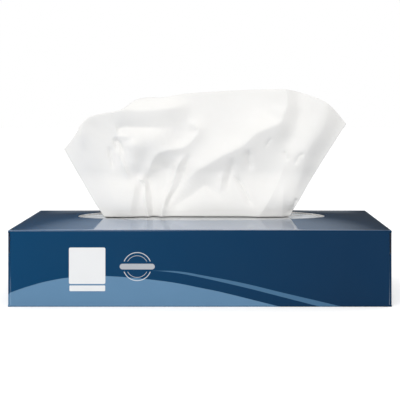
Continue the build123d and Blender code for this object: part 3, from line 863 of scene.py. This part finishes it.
def makePileTree():
    tree = bpy.data.node_groups.new("interfoldedPile", "GeometryNodeTree")
    given = {
        "NodeSocketFloat": (
            "Leaf Length", "Leaf Depth", "Leaf Share", "Edge Jitter", "Edge Inset", "Bottom", "Drop",
            "Crease Height", "Bulge Front", "Bulge Rear", "Box Length", "Box Depth"),
        "NodeSocketInt": ("Leaves", "Seed"),
        "NodeSocketMaterial": ("Material",),
    }
    for kind, labels in given.items():
        for label in labels:
            tree.interface.new_socket(label, in_out="INPUT", socket_type=kind)
    tree.interface.new_socket("Geometry", in_out="OUTPUT", socket_type="NodeSocketGeometry")
    inputs = tree.nodes.new("NodeGroupInput").outputs
    output = tree.nodes.new("NodeGroupOutput")
    add, links = tree.nodes.new, tree.links

    # One leaf, as thick as its share of the pitch, where the pitch is 1
    leaf = add("GeometryNodeMeshCube")
    size = add("ShaderNodeCombineXYZ")
    for socket, label in zip(size.inputs, ("Leaf Length", "Leaf Depth", "Leaf Share")):
        links.new(inputs[label], socket)
    links.new(size.outputs[0], leaf.inputs["Size"])
    for axis, count in zip("XYZ", pile["leafCuts"]):
        leaf.inputs["Vertices " + axis].default_value = count
    column = add("GeometryNodeMeshLine")
    column.mode = "OFFSET"
    links.new(inputs["Leaves"], column.inputs["Count"])
    column.inputs["Start Location"].default_value = (0, 0, 0.5)
    column.inputs["Offset"].default_value = (0, 0, 1)
    repeat = add("GeometryNodeInstanceOnPoints")
    links.new(column.outputs[0], repeat.inputs["Points"])
    links.new(leaf.outputs[0], repeat.inputs["Instance"])
    real = add("GeometryNodeRealizeInstances")
    links.new(repeat.outputs[0], real.inputs[0])

    # Each leaf's own slide to and fro, and the pull of the outermost edges
    here = add("GeometryNodeInputPosition")
    x, y, level = splitPlace(tree, here.outputs[0])
    number = calc(tree, "FLOOR", level)
    slide = add("FunctionNodeRandomValue")
    slide.data_type = "FLOAT"
    slide.inputs[2].default_value = -1
    slide.inputs[3].default_value = 1
    links.new(number, slide.inputs["ID"])
    links.new(inputs["Seed"], slide.inputs["Seed"])
    up = calc(tree, "DIVIDE", level, inputs["Leaves"])
    fromMiddle = calc(tree, "ABSOLUTE", calc(tree, "MULTIPLY_ADD", up, 2, -1))
    pull = calc(tree, "MULTIPLY", calc(tree, "POWER", fromMiddle, 16), inputs["Edge Inset"])
    halfDepth = calc(tree, "DIVIDE", inputs["Leaf Depth"], 2)
    narrowing = calc(tree, "SUBTRACT", 1, calc(tree, "DIVIDE", pull, halfDepth))
    slid = calc(tree, "MULTIPLY", slide.outputs[1], inputs["Edge Jitter"])
    newY = calc(tree, "ADD", calc(tree, "MULTIPLY", y, narrowing), slid)

    # Height: the same share of the way from the bottom to the underside of the bulge
    along = calc(tree, "ADD", calc(tree, "DIVIDE", x, inputs["Box Length"]), 0.5)
    across = calc(tree, "ADD", calc(tree, "DIVIDE", newY, inputs["Box Depth"]), 0.5)
    rest = calc(tree, "SUBTRACT", 1, across)
    swell = calc(tree, "SUBTRACT", calc(tree, "SUBTRACT", 1, calc(
        tree, "POWER", calc(tree, "SUBTRACT", 1, along), 4)), calc(tree, "POWER", along, 4))
    middle = calc(tree, "MULTIPLY", across, rest)
    front = calc(tree, "MULTIPLY", rest, inputs["Bulge Front"])
    rear = calc(tree, "MULTIPLY", across, inputs["Bulge Rear"])
    both = calc(tree, "MULTIPLY", middle, calc(tree, "ADD", front, rear))
    bulge = calc(tree, "MULTIPLY", swell, calc(tree, "MULTIPLY", both, 3))
    top = calc(tree, "SUBTRACT", calc(tree, "ADD", bulge, inputs["Crease Height"]), inputs["Drop"])
    tall = calc(tree, "SUBTRACT", top, inputs["Bottom"])
    newZ = calc(tree, "ADD", calc(tree, "MULTIPLY", up, tall), inputs["Bottom"])
    place = add("ShaderNodeCombineXYZ")
    for socket, value in zip(place.inputs, (x, newY, newZ)):
        links.new(value, socket)
    move = add("GeometryNodeSetPosition")
    links.new(real.outputs[0], move.inputs["Geometry"])
    links.new(place.outputs[0], move.inputs["Position"])
    finish = add("GeometryNodeSetMaterial")
    links.new(move.outputs[0], finish.inputs["Geometry"])
    links.new(inputs["Material"], finish.inputs["Material"])
    links.new(finish.outputs[0], output.inputs[0])
    return tree


def setInputs(modifier, **values):
    for item in modifier.node_group.interface.items_tree:
        label = item.name.replace(" ", "_")
        if item.in_out == "INPUT" and label in values:
            modifier[item.identifier] = values[label]


def makePile(material):
    piece = addObject("tissuePile", bpy.data.meshes.new("tissuePile"))
    nodes = piece.modifiers.new("interfoldedPile", "NODES")
    nodes.node_group = makePileTree()
    setInputs(
        nodes, Leaf_Length=pileHigh.x - pileLow.x,
        Leaf_Depth=pileHigh.y - pileLow.y - 2 * pile["edgeJitter"],
        Leaves=pile["leaves"], Leaf_Share=pile["leafShare"], Edge_Jitter=pile["edgeJitter"],
        Edge_Inset=pile["edgeInset"], Bottom=pileLow.z, Drop=pile["drop"],
        Crease_Height=topPanel["creaseHeight"], Bulge_Front=topPanel["bulgeFront"],
        Bulge_Rear=topPanel["bulgeRear"], Box_Length=boxLength, Box_Depth=boxDepth, Seed=pile["seed"],
        Material=material,
    )
    applyModifiers(piece)
    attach(piece, "root")
    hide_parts("tissue_stack")
    return piece


pileTissue = makePaper("pileTissue", 1400.0, (247, 245, 241), (240, 238, 233), 0.95, 0.08 * mm, 0.6)
tissuePile = makePile(pileTissue)
print("pile made:", len(tissuePile.data.polygons), "faces")


# Floor, light and camera

studio = {
    "floorSize": 8.0,
    "floorColor": srgb(248, 248, 248),
    "floorGlow": 0.33,             # what brings the floor up to white for the camera
    "ambient": 0.82,
    "key": 0.78,                   # a broad light high on the left in front
    "keyFrom": (-0.36, -0.74, 0.56),
    "keyAngle": 38,
    "keyGloss": 0.25,
    "frontRoom": 0.04,             # how bright the room in front of the box is in the gloss
    "rearFloor": 0.15,             # and the floor behind the box
    "floorFade": (8, 0.2),         # how each goes over from front to rear: its rise and its middle
    "roomFade": (3, 0.8),
    "roomLevels": (                # brightness of the room that gloss sees, from the horizon up
        (0, 0.15), (0.03, 0.12), (0.06, 0.05), (0.14, 0.05),
        (0.22, 0.28), (0.32, 0.42), (0.5, 1.2), (1, 1.2)),
    "roomTint": (0.9, 1, 1.12),
    "lens": 95.66,
    "lensShift": (-0.048, -0.248),
    "cameraPlace": (11.6 * mm, -694.1 * mm, 123.5 * mm),
}


def makeFloor():
    half = studio["floorSize"] / 2
    corners = [(-half, -half, 0), (half, -half, 0), (half, half, 0), (-half, half, 0)]
    mesh = bpy.data.meshes.new("floor")
    mesh.from_pydata(corners, [], [(0, 1, 2, 3)])
    floor = addObject("floor", mesh)
    material, tree, shader = newMaterial("paleFloor")
    shader.inputs["Base Color"].default_value = studio["floorColor"]
    shader.inputs["Roughness"].default_value = 0.9
    shader.inputs["Specular IOR Level"].default_value = 0.0
    path = tree.nodes.new("ShaderNodeLightPath")
    shader.inputs["Emission Color"].default_value = (1, 1, 1, 1)
    seen = calc(tree, "MAXIMUM", path.outputs["Is Camera Ray"], path.outputs["Is Transmission Ray"])
    tree.links.new(calc(tree, "MULTIPLY", seen, studio["floorGlow"]), shader.inputs["Emission Strength"])
    # In the gloss the floor is dim behind the box and darker in front of it
    behind = fadeAlong(tree, splitPlace(tree, objectPlace(tree))["Y"], *studio["floorFade"])
    front, rear = studio["frontRoom"], studio["rearFloor"]
    inGloss = tree.nodes.new("ShaderNodeEmission")
    tree.links.new(calc(tree, "MULTIPLY_ADD", behind, rear - front, front), inGloss.inputs["Strength"])
    either = mixShaders(tree, path.outputs["Is Glossy Ray"], shader.outputs[0], inGloss.outputs[0])
    tree.links.new(either, tree.nodes["Material Output"].inputs["Surface"])
    mesh.materials.append(material)


def background(tree, color, strength):
    node = tree.nodes.new("ShaderNodeBackground")
    feed(tree, node.inputs["Color"], color)
    feed(tree, node.inputs["Strength"], strength)
    return node.outputs[0]


def makeWorld():
    world = bpy.data.worlds.new("studio")
    bpy.context.scene.world = world
    world.use_nodes = True
    tree = world.node_tree
    tree.nodes.clear()
    path = tree.nodes.new("ShaderNodeLightPath")
    place = splitPlace(tree, tree.nodes.new("ShaderNodeTexCoord").outputs["Generated"])
    white = (1, 1, 1, 1)
    # What gloss sees: dim at the horizon, dark walls over it, light higher up, a dark room in front
    ramp = tree.nodes.new("ShaderNodeValToRGB")
    stops = ramp.color_ramp.elements
    while len(stops) < len(studio["roomLevels"]):
        stops.new(0.5)
    for stop, (position, brightness) in zip(stops, studio["roomLevels"]):
        stop.position = position
        stop.color = tuple(brightness * tint for tint in studio["roomTint"]) + (1,)
    tree.links.new(place["Z"], ramp.inputs[0])
    behind = fadeAlong(tree, place["Y"], *studio["roomFade"])
    level = calc(tree, "MULTIPLY_ADD", behind, 1 - studio["frontRoom"], studio["frontRoom"])
    room = background(tree, ramp.outputs[0], level)
    lit = mixShaders(tree, path.outputs["Is Glossy Ray"], background(tree, white, studio["ambient"]), room)
    seen = calc(tree, "MAXIMUM", path.outputs["Is Camera Ray"], path.outputs["Is Transmission Ray"])
    sky = mixShaders(tree, seen, lit, background(tree, white, 1))
    out = tree.nodes.new("ShaderNodeOutputWorld")
    tree.links.new(sky, out.inputs[0])


def makeKey():
    lamp = bpy.data.lights.new("keyLight", "SUN")
    lamp.energy = studio["key"]
    lamp.angle = math.radians(studio["keyAngle"])
    lamp.specular_factor = studio["keyGloss"]
    holder = addObject("keyLight", lamp)
    holder.rotation_euler = (-Vector(studio["keyFrom"])).to_track_quat("-Z", "Y").to_euler()


def makeCamera():
    lens = bpy.data.cameras.new("camera")
    lens.sensor_width = 36
    lens.lens = studio["lens"]
    lens.shift_x, lens.shift_y = studio["lensShift"]
    lens.clip_start = 0.01
    camera = addObject("camera", lens)
    camera.location = studio["cameraPlace"]
    camera.rotation_euler = (math.radians(90), 0, 0)
    bpy.context.scene.camera = camera


makeFloor()
makeWorld()
makeKey()
makeCamera()
bpy.context.scene.view_settings.view_transform = "Standard"
